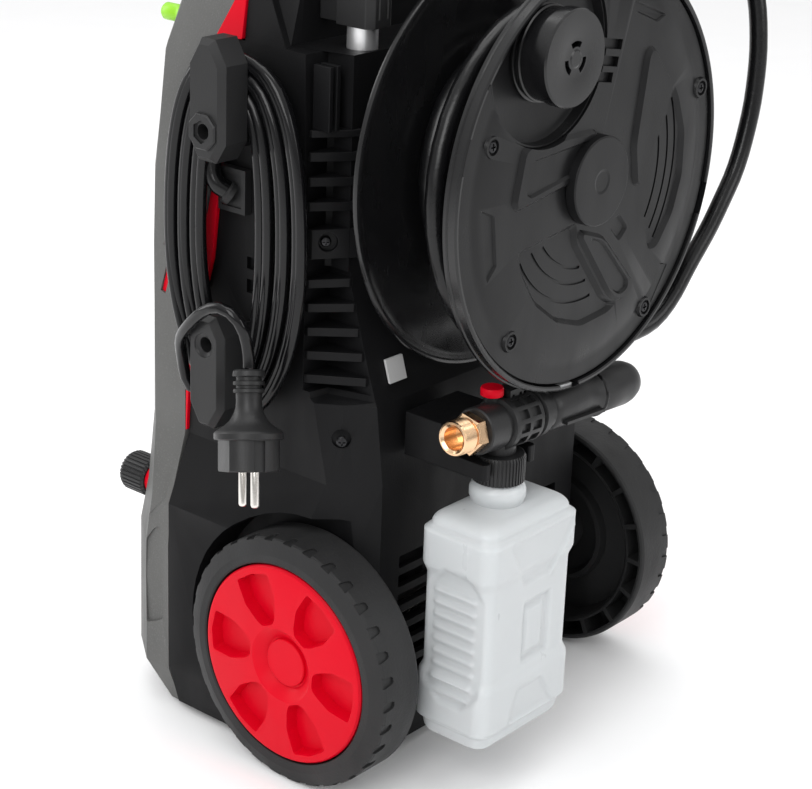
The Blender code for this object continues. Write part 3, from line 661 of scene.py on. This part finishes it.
def mains_lead():
    route = [Vector(q) for q in LEAD_START + lead_turns()] + [Vector(q) for q in LEAD_ROUTE]
    points = smooth_route(relaxed(smooth_route(route, 4.0), 6), 7.0)
    lead = wire("mains_lead", points, LEAD_R, CABLE, "root", 5)
    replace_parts(lead, "lead_coil", "lead_tail")

    # The tapered strain relief, round the lead's first 28 mm.
    sleeve = smooth_route([(-118, 69, 334), *points[:5]], 0.65)[:RELIEF_POINTS]
    wire("lead_strain_relief", sleeve, 5.6, CABLE, "root", 6,
         [1 - 0.28 * i / (RELIEF_POINTS - 1) for i in range(RELIEF_POINTS)])

    boot = turned([(0, 35), (7.6, 35), (8.6, 34.2), (9, 31.6), (8.6, 31.2), (6.9, 31), (6.9, 28.9),
                   (8.5, 28.6), (8.6, 26.6), (6.9, 26.3), (6.9, 24.8), (8.4, 24.5), (8.5, 22.6),
                   (7.2, 22.2), (7.0, 18), (7.3, 14.5), (8.4, 11), (10.4, 7.6), (13.5, 4.6), (17.5, 2.2),
                   (18.6, 1.3), (19, 0.6), (19, -2.2), (18.4, -2.8), (0, -2.8)], "Z", (0, 0, 0), 64)
    body = turned([(0, -1), (17.1, -1), (17.1, -19), (16.4, -19.9), (0, -19.9)], "Z", (0, 0, 0), 64)
    # Two flats and two earth grooves, and ribs to grip.
    flats = [box((-30, 14.4, -30), (30, 30, -3.0)), box((-30, -30, -30), (30, -14.4, -3.0))]
    combine(body, flats)
    grooves = [box((sx * 17.6 - 2.4, -3.1, -30), (sx * 17.6 + 2.4, 3.1, -3.2)) for sx in (-1, 1)]
    grooves += [box((sx * 12.6 - 1.2, sy * 14.4 - 0.8, -30), (sx * 12.6 + 1.2, sy * 14.4 + 0.8, -4.4))
                for sx in (-1, 1) for sy in (-1, 1)]
    combine(body, grooves)
    plug = combine(boot, body, "UNION")
    side = PLUG_UP.cross(PIN_LINE).normalized()
    pins_along = side.cross(PLUG_UP).normalized()
    turn = Matrix((pins_along, side, PLUG_UP)).transposed().to_4x4()
    place = Matrix.Translation(PLUG_AT) @ turn
    moved(plug, place)
    plug = done(plug, "plug_shape", MATT, "root", ["plug_body"], bevel=0.35)
    for sign, word in ((1, "front"), (-1, "rear")):
        pin = turned([(0, -19), (2.4, -19), (2.4, -37.6), (2.0, -38.7), (1.2, -39.2), (0, -39.2)], "Z",
                     (0, 0, 0), 32)
        moved(pin, place @ Matrix.Translation((sign * 9.5, 0, 0)))
        done(pin, f"{word}_pin", NICKEL, "root", [f"{word}_plug_pin"], sharp=40)
    row((-122, 73, 338))
    length(points) * MM


# ---- hooks


def hook(name, node, pivot_z, direction, body, raised):
    """An elongated octagonal hook plate with bevelled edges, and a hole at its pivot."""
    near, far = pivot_z - direction * 17, pivot_z + direction * 49
    outline = [(HOOK_Y - 6, near), (HOOK_Y + 6, near), (HOOK_Y + 13, near + direction * 11),
               (HOOK_Y + 13, far - direction * 13), (HOOK_Y + 5, far), (HOOK_Y - 5, far),
               (HOOK_Y - 13, far - direction * 13), (HOOK_Y - 13, near + direction * 11)]
    face = shrunk(outline, 3.0)
    o = stack("X", (-130.3, outline), (-146.2, outline), (-150, face))
    if raised:
        ring = polygon((HOOK_Y, pivot_z), 10.5, 8, 22.5)
        combine(o, stack("X", (-149, ring), (-151.2, ring), (-152, shrunk(ring, 0.8))), "UNION")
        combine(o, plate(polygon((HOOK_Y, pivot_z), 6.4, 6, 30), "X", -155, -150.4))
        combine(o, rod((-156, HOOK_Y, pivot_z), (-140, HOOK_Y, pivot_z), 4.2, 32))
    else:
        combine(o, turned([(0, -156), (9, -156), (6.6, -149.2), (4.2, -148), (4.2, -138), (0, -138)], "X",
                          (0, HOOK_Y, pivot_z), 40))
    done(o, name, MATT, body, [node], bevel=0.6, segments=3)


# ---- foam lance and bottle

LANCE = (-52.0, -78.0, 220.0)
TILT = (Matrix.Translation(LANCE) @ Matrix.Rotation(math.radians(3.5), 4, "Y")
        @ Matrix.Translation(-Vector(LANCE)))


def lance():
    x0, y0, z0 = LANCE

    def along(profile):
        return turned([(r, x0 + h) for r, h in profile], "X", LANCE, 96)

    thread = [(9.2, -43.0)]
    x = -42.0
    while x < -34.4:
        thread += [(9.7, x), (9.2, x + 0.55), (9.7, x + 1.1)]
        x += 1.2
    inlet = along([(0, -28), (5.6, -28), (6.2, -34), (6.6, -42), (8.2, -43.2), *thread, (9.0, -33.6),
                   (9.0, -32.6), (9.8, -32.4), (9.8, -24.3), (0, -24.3)])
    hexagon = polygon((y0, z0), 11.8, 6, 12)
    nut = stack("X", (x0 - 32.3, shrunk(hexagon, 1.0)), (x0 - 31.4, hexagon), (x0 - 25.6, hexagon),
                (x0 - 24.9, shrunk(hexagon, 0.8)))
    combine(inlet, nut, "UNION")
    done(moved(inlet, TILT), "lance_inlet_shape", BRASS, "foam_lance", ["lance_inlet"], bevel=0.25)

    body = along([(0, -24), (12.4, -24), (13.2, -23.2), (13.2, -8), (12.4, -7.4), (12.4, -5), (14.8, -4.4),
                  (15, -3.6), (15, 20), (14.4, 21), (12.2, 21.6), (12.2, 24), (14.2, 24.8), (14.2, 29.6),
                  (12, 30.4), (12, 36), (0, 36)])
    windows = []
    for middle in (3.3, 13.7):
        for a in range(0, 360, 30):
            place = Matrix.Translation((x0 + middle, *on_circle((y0, z0), 15, a)))
            turn = Matrix.Rotation(math.radians(a + 90), 4, "X")
            windows.append(moved(box((-3.9, -2.6, -2.0), (3.9, 2.6, 2.0)), place @ turn))
    combine(body, windows)
    moved(body, TILT)
    combine(body, rod((x0, y0, 203.3), (x0, y0, 214), 9, 48), "UNION")
    combine(body, rod((-56, -73.5, 220), (-56, -73.5, 236), 4.6, 32), "UNION")
    lug = box((-49, -81, 230), (-37, -71, 238.4))
    combine(lug, [rod((x, -90, 234.6), (x, -76, 234.6), 1.2, 16) for x in (-46.2, -39.8)])
    combine(body, lug, "UNION")
    done(body, "lance_body_shape", MATT, "foam_lance", ["lance_body"], bevel=0.3)

    sleeve = along([(0, 36.4), (11.8, 36.4), (12.6, 37.4), (13.4, 41), (13.4, 66), (13.0, 68), (13.0, 79),
                    (13.4, 80), (13.4, 111), (12.6, 116), (10.8, 121), (8, 124.6), (5.4, 126.6),
                    (4.6, 126.6), (4.6, 118), (0, 118)])
    fins = [box((x0 + 42, y0 - 15.4, z0 - 6.6), (x0 + 79, y0 - 4, z0 - 4.8)),
            box((x0 + 42, y0 + 4, z0 + 4.8), (x0 + 79, y0 + 15.4, z0 + 6.6))]
    combine(sleeve, fins, "UNION")
    flat = box((x0 + 42, y0 - 20, z0 + 11.6), (x0 + 79, y0 + 20, z0 + 30))
    combine(sleeve, flat)
    done(moved(sleeve, TILT), "lance_sleeve", MATT, "nozzle_sleeve", ["lance_nozzle"], bevel=0.35)
    ring = along([(13.2, 81.6), (14.1, 82.2), (14.4, 83), (14.1, 83.8), (13.2, 84.4)])
    done(moved(ring, TILT), "sleeve_ring", CABLE, "nozzle_sleeve", sharp=60)

    doser = turned([(0, 236.4), (6.4, 236.4), (6.5, 236.8), (6.5, 240), (5.9, 241), (0, 241)], "Z",
                   (-56, -73.5, 0), 48)
    done(doser, "dosing_knob_shape", RED, "doser", ["dosing_knob"], sharp=40)

    # The ribbed cap.
    outline = ribbed((x0, y0), 44, ((14.9, -0.36), (14.9, 0.18), (14.3, 0.28), (14.3, 0.6)))
    cap = stack("Z", (187, outline), (201, outline), (203, scaled(outline, (x0, y0), 0.93)))
    done(cap, "bottle_cap_shape", MATT, "cap_ring", ["bottle_cap"], sharp=28)


def bump_at(value, low, high, soft):
    """1 between low and high, falling to 0 across each."""
    return step_at(value, low, soft) * (1 - step_at(value, high, soft))


def bottle():
    """The blow-moulded bottle, with grip ribs on its sides and panels front and back."""
    cx, cy = -52.0, -81.5
    half_x, half_y = 42.0, 26.5
    levels = [(36.0, 9.0), (36.4, 7.0), (37.6, 5.2), (39.6, 4.2), (42, 3.8)]
    z = 43.5
    while z < 169:
        levels.append((z, 0.8 + 2.8 * (1 - step_at(z, 46.5, 3)) + 3.0 * step_at(z, 165, 3)
                       + 1.9 * bump_at(z, 78, 140, 8)))
        z += 1.5
    levels += [(169.6, 4.4), (171.2, 5.6), (172.6, 7.4), (173.6, 9.8), (174.2, 12.6), (174.5, 15.5)]
    rings = []
    for z, inset in levels:
        ring = []
        for x, y, nx, ny in dense_rectangle(half_x - inset, half_y - inset, 8.0, 1.4):
            push = 0.0
            if abs(nx) > 0.6:
                # Side: a sunk arch with nine ribs.
                lean = max(0.0, abs(y + 1) - 8)
                arch = bump_at(z, 62 + lean * 0.9, 143 - lean * 1.1, 4) * bump_at(y, -20.5, 18, 3)
                rib = max(bump_at(z, 66.5 + 7.6 * k, 69.0 + 7.6 * k, 2.4) for k in range(9))
                push = (-1.9 * arch + 1.6 * arch * rib * bump_at(y, -14, 14.5, 3)) * abs(nx)
            if abs(ny) > 0.9:
                # Front and back: a slanted bead over a sunk field, an upright panel and a sunk foot.
                left, right = -7 - (z - 133) * 0.55, 17 + (z - 131) * 0.68
                field = bump_at(z, 133, 162, 3) * bump_at(x, left, right, 3)
                bead = math.exp(-((x - right) / 1.7) ** 2) * bump_at(z, 131, 158, 4)
                panel = bump_at(x, -5, 19, 2.6) * bump_at(z, 83, 120, 2.8)
                core = bump_at(x, -2, 13.5, 2) * bump_at(z, 87.5, 115.5, 2.4)
                foot = bump_at(z, 49, 68, 3) * bump_at(x, -9 - (68 - z) * 0.4, 13 + (68 - z) * 0.62, 3)
                push = 1.3 * bead - 1.2 * field - 2.2 * panel + 1.4 * core - 1.7 * foot
            ring.append((cx + x + nx * push, cy + y + ny * push, z))
        rings.append(ring)
    o = loft(rings)
    neck = turned([(0, 160), (15, 160), (15.2, 176), (16, 177.4), (16, 181.4), (15.2, 183.6), (13.6, 185.4),
                   (12.4, 186.7), (0, 186.7)], "Z", (LANCE[0], LANCE[1], 0), 72)
    combine(o, neck, "UNION")
    done(o, "foam_bottle_shape", MILK, "foam_lance", ["foam_bottle"], sharp=70)


def dense_rectangle(p, q, r, step):
    """Points and outward normals along a rectangle with round corners."""
    out = []

    def add(x, y, degrees):
        nx, ny = on_circle((0, 0), 1, degrees)
        out.append((x + r * nx, y + r * ny, nx, ny))

    corners = ((p - r, q - r), (r - p, q - r), (r - p, r - q), (p - r, r - q))
    for i, (x, y) in enumerate(corners):
        for k in range(7):
            add(x, y, 90 * i + 15 * k)
        next_x, next_y = corners[(i + 1) % 4]
        n = round((68, 37)[i % 2] / step)
        for k in range(1, n):
            add(x + (next_x - x) * k / n, y + (next_y - y) * k / n, 90 * i + 90)
    return out


def bracket():
    """The fork under the reel, with its box and hooked prong tips."""
    x0, y0 = LANCE[0], LANCE[1]
    slot_r = 17
    outline = [(-75, -28.4), (-75, -84.6), (-73.6, -86), (-70, -86), (x0 - slot_r, -85),
               *arc((x0, y0), slot_r, 180, 0, 24), (x0 + slot_r, -85), (-34, -86), (-30.4, -86),
               (-29, -84.6), (-29, -28.4)]
    o = plate(outline, "Z", 193, 203)
    block = loft([[(-75, -28.4, 200), (-75, -57, 200), (-29, -57, 200), (-29, -28.4, 200)],
                  [(-75, -28.4, 219), (-75, -54, 219), (-29, -54, 219), (-29, -28.4, 219)]])
    combine(o, block, "UNION")
    done(o, "lance_fork", HOUSING, "root", ["lance_bracket"], bevel=0.7, segments=3)


# ---- body


def housing():
    o = node_copy("rear_housing", 0.05)
    slots = []
    for side in (-1, 1):
        for k in range(7):
            slot = rounded((side * 43.5, 125.4 - 12.3 * k), (31.5, 3.8), 1.2, 3)
            slots.append(plate(slot, "Y", -30, -20))
        slots.append(rod((side * 119, -22, 205), (side * 103, -6, 205), 5.4, 40))
        slots.append(box((side * 109, 53, 290), (side * 114, 59, 297)))
        slots.append(box((side * 109, 53, 276), (side * 114, 59, 284)))
        slots.append(rod((side * 95, 34, 446), (side * 95, 40.5, 446), 4.6, 32))
        slots.append(box((side * 91.6, -32, 229.6), (side * 113, 15.3, 297.8)))
    combine(o, slots)
    done(o, "housing", HOUSING, "root", ["rear_housing"], sharp=22, bevel=0.9)

    screws = []
    for side in (-1, 1):
        for r, at, degrees in ((3.2, (108.2, -11.2, 205), 45), (3.2, (95, 41.5, 446), 0),
                               (3.0, (103.2, 8.6, 315), 40)):
            place = Matrix.Translation((side * at[0], at[1], at[2]))
            turn = Matrix.Rotation(side * math.radians(degrees), 4, "Z")
            screws.append(moved(screw(0, 0, 0, r), place @ turn))
    done(joined(screws), "housing_screws", STEEL, "root")


SLAT = 5
SLAT_PITCH = 13.7


def louvres():
    """Slats across the corner notch, with a screw plate between two rows and a rack above."""
    for side, word in ((-1, "left"), (1, "right")):
        def plan(out, front=14.8):
            return [(side * x, y) for x, y in ((111.8 - out, front), (111.8 - out, 13 - out),
                                               (95 - out * 0.3, -0.4 + out), (88, -3), (88, front))]

        slats = [plate(plan(0), "Z", z, z + SLAT) for z in (332.6, 346.3, 360.0)]
        for z in (234.4 + SLAT_PITCH * k for k in range(5)):
            low = -0.6 - 0.25 * max(0.0, 290 - z)
            corners = ((111.8, 15.2), (111.8, 12.8), (93.4, low), (90.8, low), (90.8, 15.2))
            slats.append(plate([(side * x, y) for x, y in corners], "Z", z, z + SLAT))
        done(joined(slats), f"{word}_slats", HOUSING, "root", [f"{word}_louvre"], bevel=0.4)
        panel = plate(plan(1.0), "Z", 305.6, 322.4)
        normal = Vector((side * 13, -16, 0)).normalized()
        mid = Vector((side * 103.0, 7.0, 315))
        combine(panel, rod(mid + normal * 9, mid - normal * 2.5, 5.2, 40))
        done(panel, f"{word}_screw_plate", HOUSING, "root", bevel=0.5)
        back = plate([(side * 97, 15.2), (side * 89, 8), (side * 87, 8), (side * 87, 15.2)], "Z", 298, 374)
        shelf = plate(plan(0.2), "Z", 373, 377)
        ribs = [box((side * x, 3, 377), (side * (x + 3), 15, 412)) for x in (100.5, 106.0)]
        done(joined([back, shelf, *ribs]), f"{word}_rack", HOUSING, "root", bevel=0.5)


def shell():
    o = node_copy("front_shell", 0.05)
    cuts = []
    red = []
    for side in (-1, 1):
        x = side * 116
        for q in ([(115.8, 303), (118.6, 305.4), (122.4, 290), (119.6, 289)],
                  [(115.0, 283), (118.4, 285), (125, 262), (121.4, 260.6)],
                  [(117.8, 316.4), (119, 317), (119.6, 320), (118.2, 320.4)]):
            cuts.append(plate(q, "X", x - 4, x + 4))
            red.append(plate(shrunk(q, -0.8), "X", side * 111.4, side * 113.6))
        panel = [(108.6, 60), (108.4, 116), (112, 121.5), (118, 118), (124.6, 108), (126, 84), (124.4, 52),
                 (117, 55)]
        cuts.append(plate(panel, "X", side * 133, side * 128.2, 0.8, 2.5, 3))
    combine(o, cuts)
    line = [(106.5, 137.5), (109.5, 138.5), (127.6, 120), (128.2, 106), (126.4, 106), (126, 118.6)]
    combine(o, [plate(line, "X", side * 133, side * 127.6) for side in (-1, 1)])
    done(o, "shell", SHELL, "root", ["front_shell"], sharp=22, bevel=0.9)
    done(joined(red), "shell_red_slots", RED, "root")


# Pieces that keep their CAD shape and get round edges.
KEPT_SHAPES = (("left_red_trim", "left_trim", RED, "root", 0.3, 2),
               ("right_red_trim", "right_trim", RED, "root", 0.3, 2),
               ("left_front_foot", "left_foot", RUBBER, "root", 0.6, 2),
               ("right_front_foot", "right_foot", RUBBER, "root", 0.6, 2),
               ("power_switch", "power_switch_shape", RED, "switch", 0.8, 3),
               ("handle_lock_button", "lock_button_shape", RED, "lock_button", 0.8, 3),
               ("gun_trigger", "trigger_shape", RED, "trigger", 1.2, 3),
               ("gun_holder", "gun_holder_shape", MATT, "root", 1.4, 3))


def small_body_pieces():
    for node, name, material, body, bevel, segments in KEPT_SHAPES:
        done(node_copy(node), name, material, body, [node], bevel=bevel, segments=segments)
    slope = [(233.6, -19.7, -18.2), (246.6, -15.6, -14.1)]
    clip = loft([[(-78.5, a, z), (-64, a, z), (-64, b, z), (-78.5, b, z)] for z, a, b in slope])
    done(clip, "clip_plate", ZINC, "root", ["reel_clip_plate"], bevel=0.15)
    mount = turned([(0, -0.3), (34, -0.3), (33, -8), (30, -23.3), (8.2, -23.3), (8.2, -78.5), (0, -78.5)],
                   "Y", (0, 0, REEL_Z), 96)
    done(mount, "reel_mount_shape", HOUSING, "root", ["reel_mount"], sharp=40)
    axle = rod((-131.5, 0, WHEEL_Z), (131.5, 0, WHEEL_Z), 6, 48)
    done(axle, "axle_shape", NICKEL, "root", ["axle"], sharp=40)

    # Cable gland: a plate with a raised frame and the foot of the strain relief.
    gland = box((-117.2, 56, 322), (-112.3, 76.5, 347))
    combine(gland, box((-120, 59, 325), (-116.2, 73.5, 344)))
    relief = turned([(0, -2), (7.0, -2), (7.0, 1.2), (6.2, 2.2), (0, 2.2)], "Z", (0, 0, 0), 48)
    along = Vector((-5.6, 5.6, 5.6))
    turn = along.to_track_quat("Z", "Y").to_matrix().to_4x4()
    moved(relief, Matrix.Translation((-117, 68, 333)) @ turn)
    combine(gland, relief, "UNION")
    done(gland, "cord_gland_shape", MATT, "root", ["cord_gland"], bevel=0.4)


def inlet():
    c = (-98, 0, 131)
    o = turned([(0, 122), (9.9, 122), (9.9, 139), (9.3, 139.6), (9.3, 141), (9.9, 141.6), (9.9, 148),
                (0, 148)], "Y", c, 64)
    done(o, "inlet_shape", RED, "root", ["inlet_connector"], sharp=40)
    middle = (c[0], c[2])
    outline = ribbed(middle, 30, ((12.5, -0.34), (12.5, 0.2), (11.7, 0.3), (11.7, 0.56)))
    o = stack("Y", (148, polygon(middle, 11.0, 120)), (149.6, outline), (166.6, outline),
              (169, scaled(outline, middle, 0.88)))
    combine(o, rod((-98, 160, 131), (-98, 180, 131), 7.6, 48))
    done(o, "inlet_collar_shape", MATT, "root", ["inlet_collar"], bevel=0.2)
    o = turned([(0, 112), (5, 112), (5, 138), (4.4, 139), (4.4, 141), (5, 142), (5, 150.6), (4, 152),
                (2, 152), (1.4, 149), (0, 149)], "Y", (-84, 0, 416), 48)
    done(o, "green_nozzle", GREEN, "spray_nozzle", ["spray_nozzle_green"], sharp=40)


HANDLE_X, HANDLE_Y, HANDLE_TOP = 75, 11, 870
BEND_R, TUBE_R = 38, 8.5


def handle():
    left = [(-HANDLE_X, HANDLE_Y, 400 + 16 * k) for k in range(27)]
    bend = arc((BEND_R - HANDLE_X, HANDLE_TOP - BEND_R), BEND_R, 180, 90, 15)
    half = left + [(x, HANDLE_Y, z) for x, z in bend]
    points = half + [(-x, y, z) for x, y, z in reversed(half)]
    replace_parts(wire("handle_tube", points, TUBE_R, ALUMINIUM, "handle", 8), "handle_frame")
    profile = [(8.8, -34), (12.6, -34), (13.6, -33), (14.2, -29)]
    for x in range(-26, 23, 4):
        profile += [(14.4, x), (14.4, x + 2.6), (13.6, x + 2.9), (13.6, x + 3.7)]
    profile += [(14.2, 29), (13.6, 33), (12.6, 34), (8.8, 34)]
    grip = turned(profile, "X", (0, HANDLE_Y, HANDLE_TOP), 64)
    done(grip, "grip_shape", RUBBER, "handle", ["handle_grip"], sharp=40)

    # The left collar is slimmer than its node.
    ring = [(-10.5, 0.5), (-6, -3), (6, -3), (10.5, 0.5), (10.5, 21), (5, 25), (5, 37.4), (-5, 37.4),
            (-5, 25), (-10.5, 21)]
    slim = plate([(x - HANDLE_X, y) for x, y in ring], "Z", 429, 500)
    combine(slim, rod((-HANDLE_X, HANDLE_Y, 420), (-HANDLE_X, HANDLE_Y, 510), 8.9, 64))
    full = node_copy("right_tube_collar")
    for word, x, front, o in (("left", -HANDLE_X, -3, slim), ("right", HANDLE_X, -8, full)):
        combine(o, [box((x + d - 0.7, front - 3, 434), (x + d + 0.7, front + 0.9, 494))
                    for d in (-3.4, 3.4)])
        done(o, f"{word}_collar", MATT, "root", [f"{word}_tube_collar"], bevel=0.7)


def gun():
    o = node_copy("gun_body")
    ribs = [box((150, -70, 506 + 7 * k), (194, -59.4 - 0.5 * k, 508.4 + 7 * k)) for k in range(6)]
    combine(o, ribs)
    done(o, "gun_shape", MATT, "root", ["gun_body"], bevel=2.2, segments=4)
    o = turned([(0, 98.3), (8.5, 98.3), (8.5, 104), (7.4, 105), (7.4, 107), (8.2, 107.6), (8.2, 109),
                (7.4, 109.6), (7.4, 111), (8.2, 111.6), (8.2, 120.8), (7.4, 122), (5, 122), (5, 110),
                (0, 110)], "Y", (172, 0, 598), 64)
    done(o, "gun_coupling_shape", BRASS, "root", ["gun_coupling"], sharp=40)


def inner_pieces():
    for name, material in (("motor", STEEL), ("pump_head", STEEL), ("switch_box", MATT)):
        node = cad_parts[name]
        node.data.materials.clear()
        node.data.materials.append(material)


# ---- room, camera, lights


def room():
    m = surface("floor_white", (0.93, 0.93, 0.935), 0.75, grain=0.05, grain_size=6.0, tint=0.006,
                specular=0.2)
    bm = bmesh.new()
    bmesh.ops.create_grid(bm, x_segments=1, y_segments=1, size=9.0)
    mesh = bpy.data.meshes.new("floor")
    bm.to_mesh(mesh)
    bm.free()
    floor = bpy.data.objects.new("floor", mesh)
    mesh.materials.append(m)
    bpy.context.scene.collection.objects.link(floor)

    world = bpy.data.worlds.new("studio")
    bpy.context.scene.world = world
    world.use_nodes = True
    tree = world.node_tree
    sky = tree.nodes["Background"]
    sky.inputs["Color"].default_value = (1.0, 1.0, 1.0, 1.0)
    # Brighter overhead than at the horizon.
    where = tree.nodes.new("ShaderNodeTexCoord")
    parts = tree.nodes.new("ShaderNodeSeparateXYZ")
    rise = tree.nodes.new("ShaderNodeMapRange")
    rise.inputs["To Min"].default_value = 0.42
    rise.inputs["To Max"].default_value = 1.15
    tree.links.new(where.outputs["Generated"], parts.inputs["Vector"])
    tree.links.new(parts.outputs["Z"], rise.inputs["Value"])
    tree.links.new(rise.outputs["Result"], sky.inputs["Strength"])

    def softbox(name, at, aim, size, watts):
        data = bpy.data.lights.new(name, "AREA")
        data.shape = "RECTANGLE"
        data.size, data.size_y = size
        data.energy = watts
        o = bpy.data.objects.new(name, data)
        o.location = at
        o.rotation_euler = (Vector(aim) - Vector(at)).to_track_quat("-Z", "Y").to_euler()
        bpy.context.scene.collection.objects.link(o)

    softbox("key", (-1.5, -0.5, 1.25), (0, 0, 0.3), (0.9, 1.2), 15)
    softbox("rear_fill", (0.5, -1.9, 0.95), (0, 0, 0.3), (1.2, 0.9), 8)
    softbox("top", (0.1, 0.1, 2.0), (0, 0, 0.3), (1.4, 1.4), 13)
    softbox("front_rim", (-0.6, 1.6, 0.9), (0, 0, 0.35), (0.8, 1.2), 9)


def camera():
    data = bpy.data.cameras.new("camera")
    data.lens = 93.37
    data.sensor_width = 36.0
    data.sensor_fit = "HORIZONTAL"
    data.clip_end = 50.0
    o = bpy.data.objects.new("camera", data)
    right, up, back = (0.6453, -0.7631, 0.0361), (0.2564, 0.2607, 0.9307), (-0.7196, -0.5913, 0.3639)
    m = Matrix((right, up, back)).transposed().to_4x4()
    m.translation = (-0.93385, -0.7516, 0.6537)
    o.matrix_world = m
    bpy.context.scene.collection.objects.link(o)
    bpy.context.scene.camera = o
    bpy.context.scene.view_settings.view_transform = "Standard"


camera()
room()
mains_lead()
hose_end()
wound_hose()
for word_, side_ in (("left", -1), ("right", 1)):
    wheel(side_, word_)
reel()
cover()
knob()
hook("upper_hook_shape", "upper_cord_hook", 375, 1, "upper_hook", True)
hook("lower_hook_shape", "lower_cord_hook", 255, -1, "root", False)
lance()
bottle()
bracket()
housing()
louvres()
shell()
small_body_pieces()
inlet()
handle()
gun()
inner_pieces()
